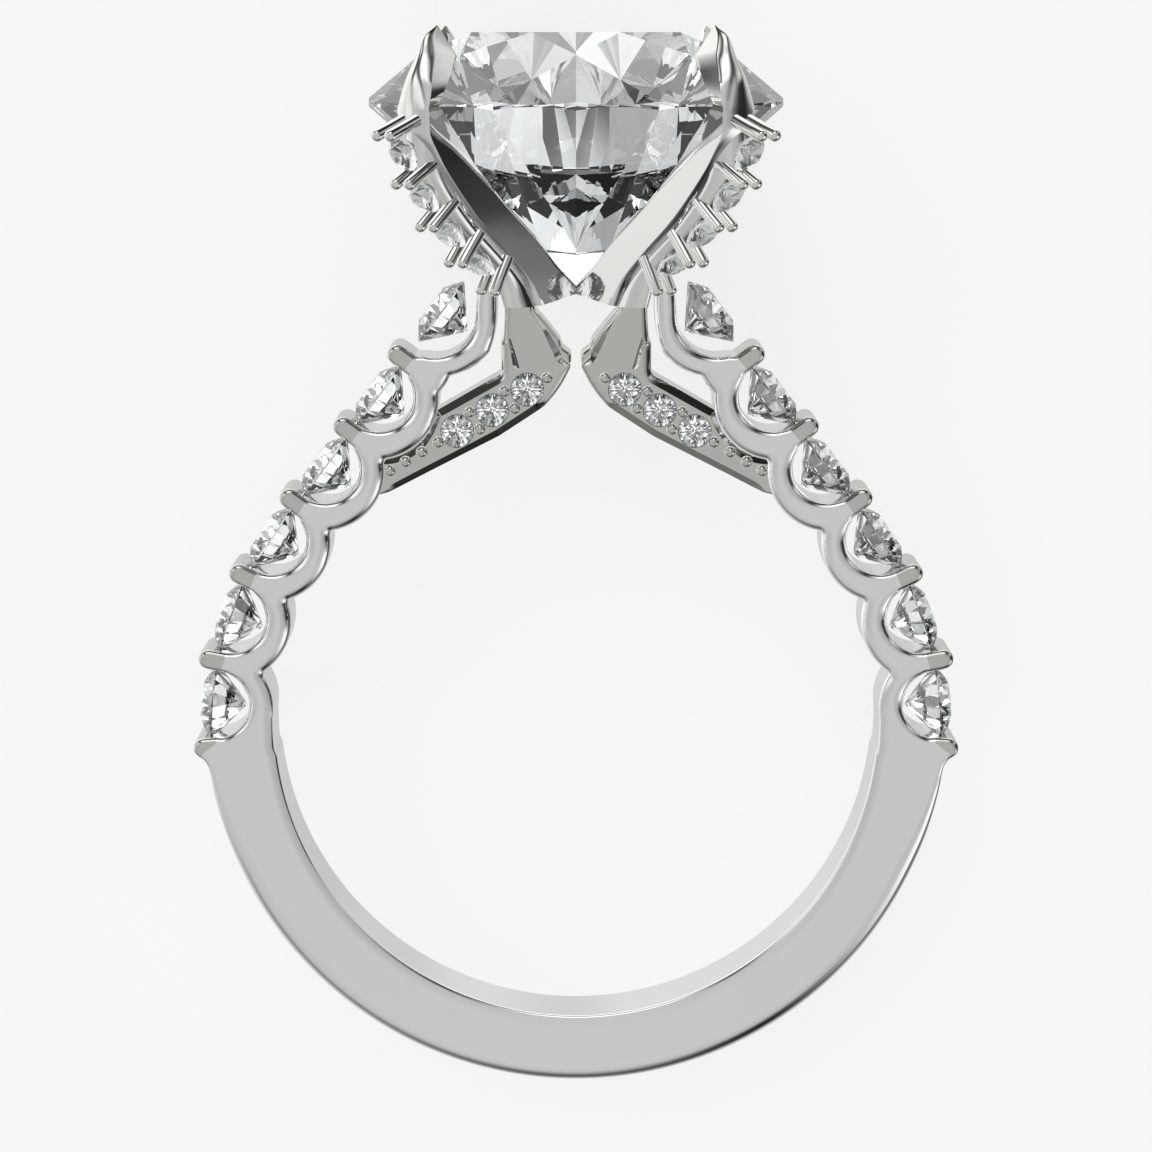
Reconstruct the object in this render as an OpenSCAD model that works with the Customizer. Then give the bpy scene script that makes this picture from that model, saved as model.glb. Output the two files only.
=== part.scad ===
// Cathedral setting ring: a large round brilliant in four claws set with
// small stones, over a band whose shoulders rise in scalloped stone seats.
// The ring lies on its side, as it rests by itself on a table.
// Everything is drawn upright first, with the finger hole centred on the
// origin, X to the right, Y along the finger and Z up to the stone, and
// then laid down by one rotation and one shift.

/* [Finger ring] */
// Inside diameter of the finger hole
finger_d = 16.5; // [16.4:0.05:16.6]
// Radial thickness of the plain lower shank
shank_t = 1.9; // [1.8:0.05:2]
// Width of the ring along the finger
shank_w = 2.4; // [2.3:0.1:2.6]

/* [Main stone] */
// Girdle diameter of the main stone
main_d = 11.2; // [11:0.1:11.4]
// Height of the table above the centre of the finger hole
table_z = 18.7; // [18.65:0.05:18.75]

/* [Shoulder stones] */
// Girdle diameter of a shoulder stone
side_d = 2.04; // [1.96:0.02:2.06]
// Distance from one shoulder stone to the next
side_pitch = 2.45; // [2.42:0.01:2.48]
// Extra distance up to the topmost stone, which clears the foot of the head
top_gap = 0.42; // [0.4:0.01:0.44]
// Thickness of the wall between two shoulder stones
wall_t = 0.55; // [0.5:0.01:0.58]
// How far the rounded wall tips stand above the stones' girdles
tip_rise = 0.55; // [0.5:0.05:0.6]

/* [Head] */
// Width of a claw at the girdle of the main stone
claw_w = 1.3; // [1.2:0.05:1.4]
// Girdle diameter of a claw stone
claw_stone_d = 1.04; // [1:0.02:1.06]
// Diameter of the round wire prongs along the claws
wire_d = 0.33; // [0.3:0.01:0.34]

/* [Bridges] */
// Thickness of a bridge plate, along the finger
plate_w = 1.9; // [1.8:0.1:2]
// Girdle diameter of a bridge stone
plate_stone_d = 0.88; // [0.84:0.02:0.9]
// Gap between the tips of the two bridge plates
plate_gap = 0.26; // [0.2:0.02:0.32]

/* [Hidden] */
$fn = 64;
finger_r = finger_d / 2;
shank_r = finger_r + shank_t;

// Clearance between a stone and the metal that holds it
seat_gap = 0.03;
// Height of the open room above a stone's girdle, for each kind of stone
main_open = 0.6;
side_open = 0.2;
claw_open = 0.3;
plate_open = 0.01;

// Proportions of a round brilliant, as shares of the girdle diameter
cut_table = 0.54;
cut_girdle = 0.02;
crown_angle = 34.4;
pavilion_angle = 40.7;
// Share of the way from table to girdle where the star facets end
cut_star = 0.5;
// Share of the way from girdle to culet where the lower halves end
cut_lower = 0.77;
// The girdle's scallops take up to this share of its half height
girdle_dip = 0.8;
MAINS = 8;

function crown_h(d) = d * (1 - cut_table) / 2 * tan(crown_angle);
function pavilion_h(d) = d / 2 * tan(pavilion_angle);

// The girdle of the main stone is centred at this height
main_z = table_z - crown_h(main_d) - main_d * cut_girdle / 2;
main_r = main_d / 2;

// The shoulder line: a circle about a point left of and below the middle,
// left at slope_a by a straight line that climbs to the head
arc_c = [-0.6, -0.36];
arc_r = finger_r + 1.15;
slope_a = 142.9;
// Distance up the straight line from where it leaves the circle to the top stone
top_s = 7.34;
SIDE_STONES = 6;
// The last half pitch is shorter, because the shank takes over from the wall
last_half = 1.03;
// Inside and outside radius of the scalloped cradle of a shoulder stone
cradle_in = (side_pitch - wall_t) / 2;
cradle_out = 1.68;
// Height of the slot above a cradle, past the tips of its walls
slot_h = 2;
// A cradle's outer round ends this much above the girdle of its stone
cradle_rise = 0.06;
// Depth of a wall below the girdles
wall_root = 1;
// The underside of the lowest wall runs out into the shank along these points
TOE = [
    [-9.6, -0.5],
    [-10.36, -0.86],
    [-10.22, -1.02],
    [-10.12, -1.22],
    [-10.05, -1.5],
    [-9.85, -2.1],
    [-9.4, -1.8]
];

// A place on the shoulder line: distance s down from the tangent point
function line_a(s) = s > 0 ? slope_a + s / arc_r * 180 / PI : slope_a;
function line_p(s) =
    let (a = line_a(s), on = arc_c + arc_r * [cos(a), sin(a)])
    s > 0 ? on : on - s * [sin(slope_a), -cos(slope_a)];
function stone_s(i) = i == 0 ? -top_s : -top_s + top_gap + i * side_pitch;
function wall_s(i) =
    i == SIDE_STONES - 1 ? stone_s(i) + last_half : stone_s(i + 1) - side_pitch / 2;

// The claws stand between the X and Y directions, the first at the front left
CLAWS = 4;
function claw_turn(c) = 225 + c * 360 / CLAWS;
// The claw arc, in the upright plane of a claw: the girdles of its stones
// lie on a circle about claw_c, seen as [distance from the axis, height]
claw_c = [-0.77, 19.24];
claw_r = 8;
claw_mid_a = 41.6;
claw_step_a = 9.67;
CLAW_STONES = 4;
function claw_a(k) = claw_mid_a + (k - (CLAW_STONES - 1) / 2) * claw_step_a;
// Each pair of wires: half their spacing, and where they start and end
wire_side = 0.26;
wire_root = 7.45;
wire_tip = 8.55;

// Sections down a claw: inner point, outer point, share of the full width
CLAW = [
    [5.08, 18.84, 5.17, 18.88, 0.08],
    [4.86, 18.46, 5.55, 18.61, 0.27],
    [4.68, 18.09, 5.79, 18.08, 0.57],
    [4.99, 17.69, 6.03, 17.57, 0.8],
    [5.31, 17.29, 6.12, 17.1, 0.96],
    [5.62, 16.86, 6.15, 16.65, 1],
    [5.16, 16.3, 6.08, 16.1, 0.95],
    [4.75, 15.85, 5.9, 15.6, 0.87]
];
// Sections of the blade below the split, down to the axis
BLADE = [
    [4.95, 16.05, 5.7, 15.8, 0.85],
    [4.24, 15.24, 5.23, 14.92, 0.79],
    [3.06, 14.2, 4.13, 13.77, 0.66],
    [1.72, 13.14, 2.97, 12.83, 0.54],
    [0.95, 12.4, 2.13, 12.09, 0.46],
    [0, 11.72, 1.66, 11.4, 0.42]
];
// Sections of the outer rail that carries the claw stones
RAIL = [
    [5.5, 15.9, 6.08, 16.1, 0.72],
    [5.32, 15.05, 5.98, 15.2, 0.5],
    [4.92, 14.45, 5.47, 14.54, 0.46],
    [4.08, 13.6, 4.6, 13.6, 0.46],
    [3.03, 12.76, 3.62, 12.78, 0.46],
    [2.3, 12.06, 3.14, 12.36, 0.46],
    [1.88, 11.4, 3.04, 11.4, 0.46]
];
// Share of a section that its cut outer corners take
corner_cut = 0.22;

// Outline of the left bridge plate, in the plane of the ring
plate_tip = -plate_gap / 2;
PLATE = [
    [-1.16, 12.1],
    [-1.16, 11.28],
    [-0.38, 10.39],
    [-0.35, 10.27],
    [plate_tip, 10.05],
    [plate_tip, 9.94],
    [-0.18, 9.68],
    [-0.41, 9.27],
    [-0.71, 8.79],
    [-0.85, 8.7],
    [-2.09, 7.82],
    [-5.2, 6.2],
    [-5.6, 7],
    [-4.6, 8.2],
    [-3.69, 8.59],
    [-2.165, 9.44],
    [-2.07, 9.58],
    [-2.07, 10],
    [-1.92, 10.3],
    [-1.92, 12.1]
];
// The plates follow the finger hole this much inside it
plate_dip = 0.12;
// The plates stop this far outside the cradles they meet
plate_clear = 0.2;
// First bridge stone, the slope of their row, and their spacing
row_p = [-1.321, 9.119];
row_a = 210.7;
row_pitch = 1.105;
PLATE_STONES = 3;
// Beads: their size, how deep they sit, and their distance from a row's line
bead_r = 0.15;
bead_sink = 0.03;
bead_off = 0.27;
// Beads on the line itself: one before the first stone, the rest past the last
bead_first = -0.62;
TRAIL = [0.6, 1.12, 1.64, 2.13];
// The upper arm that ties the top cradle to the head
ARM = [[-2.9, 10.3], [-2.79, 11.3], [-2.6, 12.1], [-2.07, 12.1], [-2.07, 11.2], [-2.2, 10.4]];

// The ring lies back on the girdle of the main stone and on the back rim
// of the shank
rest_z = main_z - main_d * cut_girdle / 2;
lean_a = atan((main_r - shank_w / 2) / (rest_z + shank_r));
lay_a = -(90 - lean_a);
function laid(p) = [
    p[0],
    p[1] * cos(lay_a) - p[2] * sin(lay_a),
    p[1] * sin(lay_a) + p[2] * cos(lay_a)
];
claw_top = laid([0, CLAW[0][2] * sin(claw_turn(2)), CLAW[0][3]]);
shank_low = laid([0, -shank_w / 2, -shank_r]);
rest_on = laid([0, main_r, rest_z]);
lay_shift = [0, -(claw_top[1] + shank_low[1]) / 2, -rest_on[2]];

function side_name(side) = side < 0 ? "left" : "right";
function face_name(face) = face < 0 ? "front" : "back";
function shoulder_name(side, i) = str("shoulder_stone_", side_name(side), "_", i + 1);
function claw_name(c, k) = str("claw_stone_", c + 1, "_", k + 1);
function bridge_name(side, face, k) =
    str("bridge_stone_", side_name(side), "_", face_name(face), "_", k + 1);

// Lays the upright ring down on its side
module lay() {
    translate(lay_shift) rotate([lay_a, 0, 0]) children();
}

// Stands an outline drawn as [x, z] up in the ring's plane, between two depths
module slab(y0, y1) {
    translate([0, y1, 0]) rotate([90, 0, 0]) linear_extrude(height = y1 - y0) children();
}

// Draws on the left as it is, and on the right as its mirror image
module on_side(side) {
    mirror([side > 0 ? 1 : 0, 0, 0]) children();
}

// A round brilliant of diameter d with its girdle plane at the origin and
// its table up; each eighth of the girdle is cut into 2 * parts chords
module brilliant(d, parts) {
    r = d / 2;
    half_g = d * cut_girdle / 2;
    step = 360 / MAINS;
    r_table = r * cut_table;
    z_table = half_g + crown_h(d);
    table_flat = r_table * cos(step / 2);
    r_star = table_flat + cut_star * (r - table_flat);
    z_star = half_g + (r - r_star * cos(step / 2)) * tan(crown_angle);
    r_low = r * (1 - cut_lower);
    z_low = -half_g - (r - r_low * cos(step / 2)) * tan(pavilion_angle);
    culet = -half_g - pavilion_h(d);
    n = MAINS * 2 * parts;
    // The girdle edge dips where the flat halves meet the round girdle
    fall_up = (z_star - half_g) / (r * cos(step / 4) - r_star * cos(step / 4));
    fall_low = (-half_g - z_low) / (r * cos(step / 4) - r_low * cos(step / 4));
    function edge_in(i) = r * cos(360 / n * ((i % parts) - parts / 2)) - r * cos(step / 4);
    function ring_p(rad, z, count, turn) = [for (i = [0 : count - 1])
        [rad * cos(360 / count * i + turn), rad * sin(360 / count * i + turn), z]];
    upper = [for (i = [0 : n - 1]) let (a = 360 / n * i)
        [r * cos(a), r * sin(a), half_g - min(edge_in(i) * fall_up, half_g * girdle_dip)]];
    lower = [for (i = [0 : n - 1]) let (a = 360 / n * i)
        [r * cos(a), r * sin(a), -half_g + min(edge_in(i) * fall_low, half_g * girdle_dip)]];
    pts = concat(
        ring_p(r_table, z_table, MAINS, 0),
        ring_p(r_star, z_star, MAINS, step / 2),
        upper,
        lower,
        ring_p(r_low, z_low, MAINS, step / 2),
        [[0, 0, culet]]
    );
    s0 = MAINS;
    u0 = 2 * MAINS;
    l0 = u0 + n;
    p0 = l0 + n;
    c0 = p0 + MAINS;
    m = 2 * parts;
    faces = concat(
        [[for (i = [MAINS - 1 : -1 : 0]) i]],
        [for (i = [0 : MAINS - 1]) [i, (i + 1) % MAINS, s0 + i]],
        [for (i = [0 : MAINS - 1]) [i, s0 + i, u0 + m * i, s0 + (i + MAINS - 1) % MAINS]],
        [for (i = [0 : MAINS - 1], h = [0 : 1])
            [s0 + i, for (j = [parts : -1 : 0]) u0 + (m * i + parts * h + j) % n]],
        [for (i = [0 : n - 1]) [u0 + i, u0 + (i + 1) % n, l0 + (i + 1) % n, l0 + i]],
        [for (i = [0 : MAINS - 1], h = [0 : 1])
            [p0 + i, for (j = [0 : parts]) l0 + (m * i + parts * h + j) % n]],
        [for (i = [0 : MAINS - 1]) [c0, p0 + (i + MAINS - 1) % MAINS, l0 + m * i, p0 + i]]
    );
    polyhedron(pts, faces);
}

// The room a stone of diameter d takes in the metal, as a solid of revolution
module seat(d, open_h) {
    r = d / 2 + seat_gap;
    half_g = d * cut_girdle / 2 + seat_gap;
    rotate_extrude() polygon([
        [0, -half_g - pavilion_h(d)],
        [r, -half_g],
        [r, half_g],
        [r - open_h / tan(90 - crown_angle), half_g + open_h],
        [0, half_g + open_h]
    ]);
}

// Puts a part at a shoulder place, its own Z along the stone's axis
module on_shoulder(side, s) {
    p = line_p(s);
    on_side(side) translate([p[0], 0, p[1]]) rotate([0, 90 - line_a(s), 0]) children();
}

// Puts a part at a claw place, its own Z pointing out of the claw
module on_claw(c, a) {
    rotate([0, 0, claw_turn(c)])
        translate([claw_c[0] + claw_r * cos(a), 0, claw_c[1] - claw_r * sin(a)])
            rotate([0, 90 + a, 0]) children();
}

// Puts a part on a bridge face, its own Z pointing out of the face;
// along is the distance down the row and off is to its upper side
module on_bridge(side, face, along, off) {
    x = row_p[0] + along * cos(row_a) + off * sin(row_a);
    z = row_p[1] + along * sin(row_a) - off * cos(row_a);
    on_side(side) translate([x, face * plate_w / 2, z]) rotate([-90 * face, 0, 0]) children();
}

// Outline of the band: lower shank, scalloped cradles and the walls between
module band_outline() {
    shank_top = line_p(wall_s(SIDE_STONES - 1))[1];
    difference() {
        union() {
            difference() {
                circle(r = shank_r);
                translate([-2 * shank_r, shank_top]) square([4 * shank_r, 3 * shank_r]);
            }
            for (side = [-1, 1]) shoulder_outline(side);
        }
        circle(r = finger_r);
        for (side = [-1, 1], i = [0 : SIDE_STONES - 1]) cradle_hollow(side, i);
    }
}

// A half turn of metal under each stone, the walls, and the top arm
module shoulder_outline(side) {
    on_side(side) {
        for (i = [0 : SIDE_STONES - 1]) {
            p = line_p(stone_s(i));
            translate(p) rotate(line_a(stone_s(i)) - 90) difference() {
                circle(r = cradle_out);
                translate([-2 * cradle_out, cradle_rise])
                    square([4 * cradle_out, 2 * cradle_out]);
            }
        }
        for (i = [0 : SIDE_STONES - 1]) wall_outline(i);
        polygon(TOE);
        polygon(ARM);
    }
}

// One wall across the shoulder line, with a rounded tip
module wall_outline(i) {
    reach = tip_rise - wall_t / 2;
    translate(line_p(wall_s(i))) rotate(line_a(wall_s(i)) - 90) {
        translate([-wall_t / 2, -wall_root]) square([wall_t, wall_root + reach]);
        translate([0, reach]) circle(r = wall_t / 2);
    }
}

// The open round under a stone and the slot above it
module cradle_hollow(side, i) {
    on_side(side) translate(line_p(stone_s(i))) rotate(line_a(stone_s(i)) - 90) {
        circle(r = cradle_in);
        translate([-cradle_in, 0]) square([2 * cradle_in, slot_h]);
    }
}

// The plain shank with both shoulders, cut for its stones
module band() {
    half_w = shank_w / 2;
    difference() {
        slab(-half_w, half_w) band_outline();
        for (side = [-1, 1], i = [0 : SIDE_STONES - 1])
            on_shoulder(side, stone_s(i)) seat(side_d, side_open);
    }
}

// A bead of metal raised beside a stone
module bead() {
    translate([0, 0, -bead_sink]) sphere(r = bead_r, $fn = 24);
}

// One bridge plate with its drilled seats and raised beads
module bridge(side) {
    last = (PLATE_STONES - 1) * row_pitch;
    difference() {
        on_side(side) slab(-plate_w / 2, plate_w / 2) difference() {
            polygon(PLATE);
            circle(r = finger_r - plate_dip);
            for (i = [1, 2]) translate(line_p(stone_s(i))) circle(r = cradle_in + plate_clear);
        }
        for (face = [-1, 1], k = [0 : PLATE_STONES - 1])
            on_bridge(side, face, k * row_pitch, 0) seat(plate_stone_d, plate_open);
    }
    for (face = [-1, 1]) {
        for (k = [0 : PLATE_STONES - 2], off = [-1, 1])
            on_bridge(side, face, (k + 0.5) * row_pitch, off * bead_off) bead();
        on_bridge(side, face, bead_first, 0) bead();
        for (t = TRAIL) on_bridge(side, face, last + t, 0) bead();
    }
}

// A bar swept through sections in a claw's upright plane, its outer
// corners cut off
module swept_bar(rows) {
    n = len(rows);
    pts = [for (row = rows)
        let (
            w = row[4] * claw_w / 2,
            inner = [row[0], row[1]],
            outer = [row[2], row[3]],
            edge = outer - (outer - inner) * corner_cut,
            flat = w * (1 - 2 * corner_cut)
        )
        each [
            [inner[0], -w, inner[1]],
            [inner[0], w, inner[1]],
            [edge[0], w, edge[1]],
            [outer[0], flat, outer[1]],
            [outer[0], -flat, outer[1]],
            [edge[0], -w, edge[1]]
        ]
    ];
    faces = concat(
        [[for (j = [0 : 5]) j]],
        [for (i = [0 : n - 2], j = [0 : 5])
            each [
                [6 * i + j, 6 * i + 6 + j, 6 * i + (j + 1) % 6],
                [6 * i + (j + 1) % 6, 6 * i + 6 + j, 6 * i + 6 + (j + 1) % 6]
            ]
        ],
        [[for (j = [5 : -1 : 0]) 6 * (n - 1) + j]]
    );
    polyhedron(pts, faces);
}

// A round wire prong with a domed end
module wire() {
    r = wire_d / 2;
    h = wire_tip - wire_root;
    dome = [for (a = [0 : 30 : 60]) [r * cos(a), h - r + r * sin(a)]];
    rotate_extrude() polygon(concat([[0, 0], [r, 0]], dome, [[0, h]]));
}

// One claw: hooked blade, outer rail and five pairs of wire prongs
module claw(c) {
    difference() {
        union() {
            rotate([0, 0, claw_turn(c)]) {
                swept_bar(CLAW);
                swept_bar(BLADE);
                swept_bar(RAIL);
            }
            for (k = [0 : CLAW_STONES], off = [-1, 1])
                on_claw(c, claw_a(k - 0.5))
                    translate([0, off * wire_side, wire_root - claw_r]) wire();
        }
        for (k = [0 : CLAW_STONES - 1]) on_claw(c, claw_a(k)) seat(claw_stone_d, claw_open);
    }
}

// All the metal of the ring, cast and soldered into one piece
module mount() {
    color("silver") lay() difference() {
        union() {
            band();
            for (side = [-1, 1]) bridge(side);
            for (c = [0 : CLAWS - 1]) claw(c);
        }
        translate([0, 0, main_z]) seat(main_d, main_open);
    }
}

module main_stone() {
    color("aliceblue") lay()
        translate([0, 0, main_z]) rotate([0, 0, 180 / MAINS]) brilliant(main_d, 4);
}

module shoulder_stone(side, i) {
    color("aliceblue") lay() on_shoulder(side, stone_s(i)) brilliant(side_d, 1);
}

module claw_stone(c, k) {
    color("aliceblue") lay() on_claw(c, claw_a(k)) brilliant(claw_stone_d, 1);
}

module bridge_stone(side, face, k) {
    color("aliceblue") lay() on_bridge(side, face, k * row_pitch, 0) brilliant(plate_stone_d, 1);
}

mount();
main_stone();
for (side = [-1, 1], i = [0 : SIDE_STONES - 1])
    shoulder_stone(side, i);
for (c = [0 : CLAWS - 1], k = [0 : CLAW_STONES - 1])
    claw_stone(c, k);
for (side = [-1, 1], face = [-1, 1], k = [0 : PLATE_STONES - 1])
    bridge_stone(side, face, k);
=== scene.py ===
import math

import bpy
import numpy as np
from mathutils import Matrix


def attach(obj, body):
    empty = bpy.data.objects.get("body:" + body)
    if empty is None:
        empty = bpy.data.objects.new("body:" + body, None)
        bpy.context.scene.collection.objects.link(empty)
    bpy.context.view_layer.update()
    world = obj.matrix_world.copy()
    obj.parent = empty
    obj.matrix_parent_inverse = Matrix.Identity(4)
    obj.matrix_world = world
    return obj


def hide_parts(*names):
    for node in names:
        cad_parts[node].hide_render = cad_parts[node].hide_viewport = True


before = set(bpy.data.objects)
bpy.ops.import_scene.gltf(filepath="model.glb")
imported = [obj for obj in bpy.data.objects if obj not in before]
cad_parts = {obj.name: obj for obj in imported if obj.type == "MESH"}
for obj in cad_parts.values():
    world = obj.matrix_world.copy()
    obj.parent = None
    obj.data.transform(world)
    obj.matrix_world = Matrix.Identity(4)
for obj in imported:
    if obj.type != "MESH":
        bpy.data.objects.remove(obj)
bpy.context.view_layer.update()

# The band: the plain shank and two cathedral shoulders, cast in one piece of
# white gold. Each shoulder is filed into six open cradles with a wall across
# between them, and all its rims are rounded over and polished.

# The ring is drawn upright in millimetres, X to the right, Y along the
# finger and Z up to the stone, then laid down on the girdle of its stone
MM = 0.001
LEAN = math.radians(-80.6976)
RESTS_AT = np.array([0, -4.50607, 2.82492])


def turned_down(directions):
    """Upright directions to directions on the table."""
    x, y, z = np.asarray(directions, float).T
    c, s = math.cos(LEAN), math.sin(LEAN)
    return np.stack([x, y * c - z * s, y * s + z * c], 1)


def laid_down(places):
    """Upright places in millimetres to places on the table in metres."""
    return (turned_down(places) + RESTS_AT) * MM


# The marks that polishing leaves: their fineness, how much they change the
# gloss, the darkest share of the colour, and their depth in metres
DRAG_SCALE = 900
DRAG_DETAIL = 4
DRAG_IN_GLOSS = 0.012
DRAG_SHADE = 0.985
DRAG_DEPTH = 0.000001


def polished_metal(name, colour, roughness):
    """Polished metal: fine polishing drag in the gloss and a very faint waviness."""
    metal = bpy.data.materials.new(name)
    metal.use_nodes = True
    nodes, links = metal.node_tree.nodes, metal.node_tree.links
    shader = nodes["Principled BSDF"]
    shader.inputs["Metallic"].default_value = 1
    place = nodes.new("ShaderNodeTexCoord")
    grain = nodes.new("ShaderNodeTexNoise")
    grain.inputs["Scale"].default_value = DRAG_SCALE
    grain.inputs["Detail"].default_value = DRAG_DETAIL
    links.new(place.outputs["Object"], grain.inputs["Vector"])
    gloss = nodes.new("ShaderNodeMapRange")
    gloss.inputs["To Min"].default_value = roughness - DRAG_IN_GLOSS
    gloss.inputs["To Max"].default_value = roughness + DRAG_IN_GLOSS
    links.new(grain.outputs["Fac"], gloss.inputs["Value"])
    links.new(gloss.outputs["Result"], shader.inputs["Roughness"])
    tint = nodes.new("ShaderNodeMapRange")
    tint.data_type = "FLOAT_VECTOR"
    tint_input = {socket.identifier: socket for socket in tint.inputs}
    tint_input["To_Min_FLOAT3"].default_value = [c * DRAG_SHADE for c in colour]
    tint_input["To_Max_FLOAT3"].default_value = colour
    links.new(grain.outputs["Fac"], tint_input["Vector"])
    links.new(tint.outputs["Vector"], shader.inputs["Base Color"])
    ripple = nodes.new("ShaderNodeBump")
    ripple.inputs["Distance"].default_value = DRAG_DEPTH
    links.new(grain.outputs["Fac"], ripple.inputs["Height"])
    links.new(ripple.outputs["Normal"], shader.inputs["Normal"])
    return metal


white_gold = polished_metal("white_gold_polished", (0.93, 0.93, 0.932), 0.045)
platinum = polished_metal("platinum_polished", (0.665, 0.675, 0.635), 0.035)

# How a rim turns over, from the side to the flat face: each row gives the
# inset from the edge and the depth below the face, as shares of the rim's
# width, and the tilt in degrees
STEPS = 8
EASE_TILT = 26
EASE_LONG_R = 2.1
EASE_TIGHT_R = 0.32


def rounded_rim():
    """A quarter round."""
    turn = np.radians(np.linspace(90, 0, STEPS + 1))
    return np.stack([1 - np.sin(turn), 1 - np.cos(turn), np.degrees(turn)], 1)


def eased_rim():
    """A tight turn over, then a long shallow ease to the face."""
    rows = []
    ease = math.radians(EASE_TILT)
    for tilt in (90, 74, 58, 42, 26, 18, 10, 4, 0):
        a = math.radians(tilt)
        if tilt >= EASE_TILT:
            inset = EASE_TIGHT_R * (1 - math.sin(a))
            depth = (EASE_LONG_R * (1 - math.cos(ease))
                     + EASE_TIGHT_R * (math.cos(ease) - math.cos(a)))
        else:
            inset = (EASE_TIGHT_R * (1 - math.sin(ease))
                     + EASE_LONG_R * (math.sin(ease) - math.sin(a)))
            depth = EASE_LONG_R * (1 - math.cos(a))
        rows.append([inset, depth, tilt])
    rows = np.array(rows, float)
    rows[:, :2] /= rows[-1, 0]
    return rows


def filed_rim():
    """A filed flat at 45 degrees with softly broken corners."""
    return np.array([
        [0, 1, 90], [0.01, 0.96, 68], [0.05, 0.92, 48], [0.06, 0.91, 45], [0.5, 0.5, 45],
        [0.93, 0.06, 45], [0.96, 0.03, 40], [0.985, 0.008, 20], [1, 0, 0]
    ])


RIMS = (rounded_rim(), eased_rim(), filed_rim())


def evenly(points, values, step):
    """A closed outline walked again in even steps, its values carried along."""
    closed = np.vstack([points, points[:1]])
    carried = np.vstack([values, values[:1]])
    lengths = np.linalg.norm(np.diff(closed, axis=0), axis=1)
    along = np.concatenate([[0], np.cumsum(lengths)])
    at = np.linspace(0, along[-1], int(along[-1] / step), endpoint=False)
    return (np.stack([np.interp(at, along, column) for column in closed.T], 1),
            np.stack([np.interp(at, along, column) for column in carried.T], 1))


def softened(values, reach):
    """A closed run of values, blurred along the run over so many steps."""
    away = np.arange(-3 * reach, 3 * reach + 1)
    weights = np.exp(-0.5 * (away / reach) ** 2)
    weights /= weights.sum()
    out = np.zeros_like(values)
    for k, weight in zip(away, weights):
        out += weight * np.roll(values, k, axis=0)
    return out


# The share of the metal's room that a rim may take, so that rims don't meet,
# and over how many steps a rim's width changes
ROOM_SHARE = 0.95
WIDTH_BLUR = 2


def rim_widths(outline, inward, wanted):
    """The rims' widths along an outline, narrowed where the metal is narrow."""
    limit = np.full(len(outline), np.inf)
    for i, point in enumerate(outline):
        gap = outline - point
        toward = gap @ inward[i]
        within = toward > 1e-6
        room = (gap ** 2).sum(1)[within] / (2 * toward[within])
        if len(room):
            limit[i] = ROOM_SHARE * room.min()
    return np.minimum(softened(np.minimum(wanted, limit), WIDTH_BLUR), limit)


def face_loops(tip):
    """The loops that close a flat face, as steps of the outline: the tips apart."""
    count = len(tip)
    start = next(k for k in range(count) if not tip[k])
    main, tips = [], []
    k = 0
    while k < count:
        i = (start + k) % count
        if tip[i]:
            run = []
            while tip[(start + k) % count]:
                run.append((start + k) % count)
                k += 1
            tips.append(run)
            main += [run[0], run[-1]]
        else:
            main.append(i)
            k += 1
    return [(main, False)] + [(run, True) for run in tips]


def rimmed_plate(outline, rims, half_depth, is_tip=None):
    """Points, normals, faces and tip marks of a plate with worked rims.

    outline holds [x, z] with the metal on the right of the walk; rims holds, for
    each point, the rim's width and the shares of the rounded, eased and filed rim.
    """
    count = len(outline)
    ahead = np.roll(outline, -1, axis=0) - np.roll(outline, 1, axis=0)
    ahead /= np.linalg.norm(ahead, axis=1)[:, None]
    inward = np.stack([ahead[:, 1], -ahead[:, 0]], 1)
    width = rim_widths(outline, inward, rims[:, 0])
    shares = rims[:, 1:] / rims[:, 1:].sum(1)[:, None]
    table = sum(shares[:, k, None, None] * rim[None] for k, rim in enumerate(RIMS))
    points, normals = [], []
    for face in (-1, 1):
        for j in range(STEPS + 1):
            inset, depth, tilt = table[:, j].T
            lean = np.radians(tilt)
            flat = outline + inward * (inset * width)[:, None]
            y = face * (half_depth - depth * width)
            points.append(np.stack([flat[:, 0], y, flat[:, 1]], 1))
            side = -inward * np.sin(lean)[:, None]
            normals.append(np.stack([side[:, 0], face * np.cos(lean), side[:, 1]], 1))
    faces, marks = [], []
    tip = np.zeros(count, bool) if is_tip is None else is_tip

    def strip(a, b, flip):
        for i in range(count):
            k = (i + 1) % count
            quad = [a * count + i, a * count + k, b * count + k, b * count + i]
            faces.append(quad[::-1] if flip else quad)
            marks.append(bool(tip[i] and tip[k]))

    back = STEPS + 1
    for j in range(STEPS):
        strip(j, j + 1, True)
        strip(back + j, back + j + 1, False)
    strip(0, back, False)
    for last_row, flip in ((STEPS, False), (back + STEPS, True)):
        for loop, mark in face_loops(tip):
            ids = [last_row * count + v for v in loop]
            faces.append(ids if flip else ids[::-1])
            marks.append(mark)
    return np.vstack(points), np.vstack(normals), faces, marks


SHARP_FROM = math.radians(30)


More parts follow.
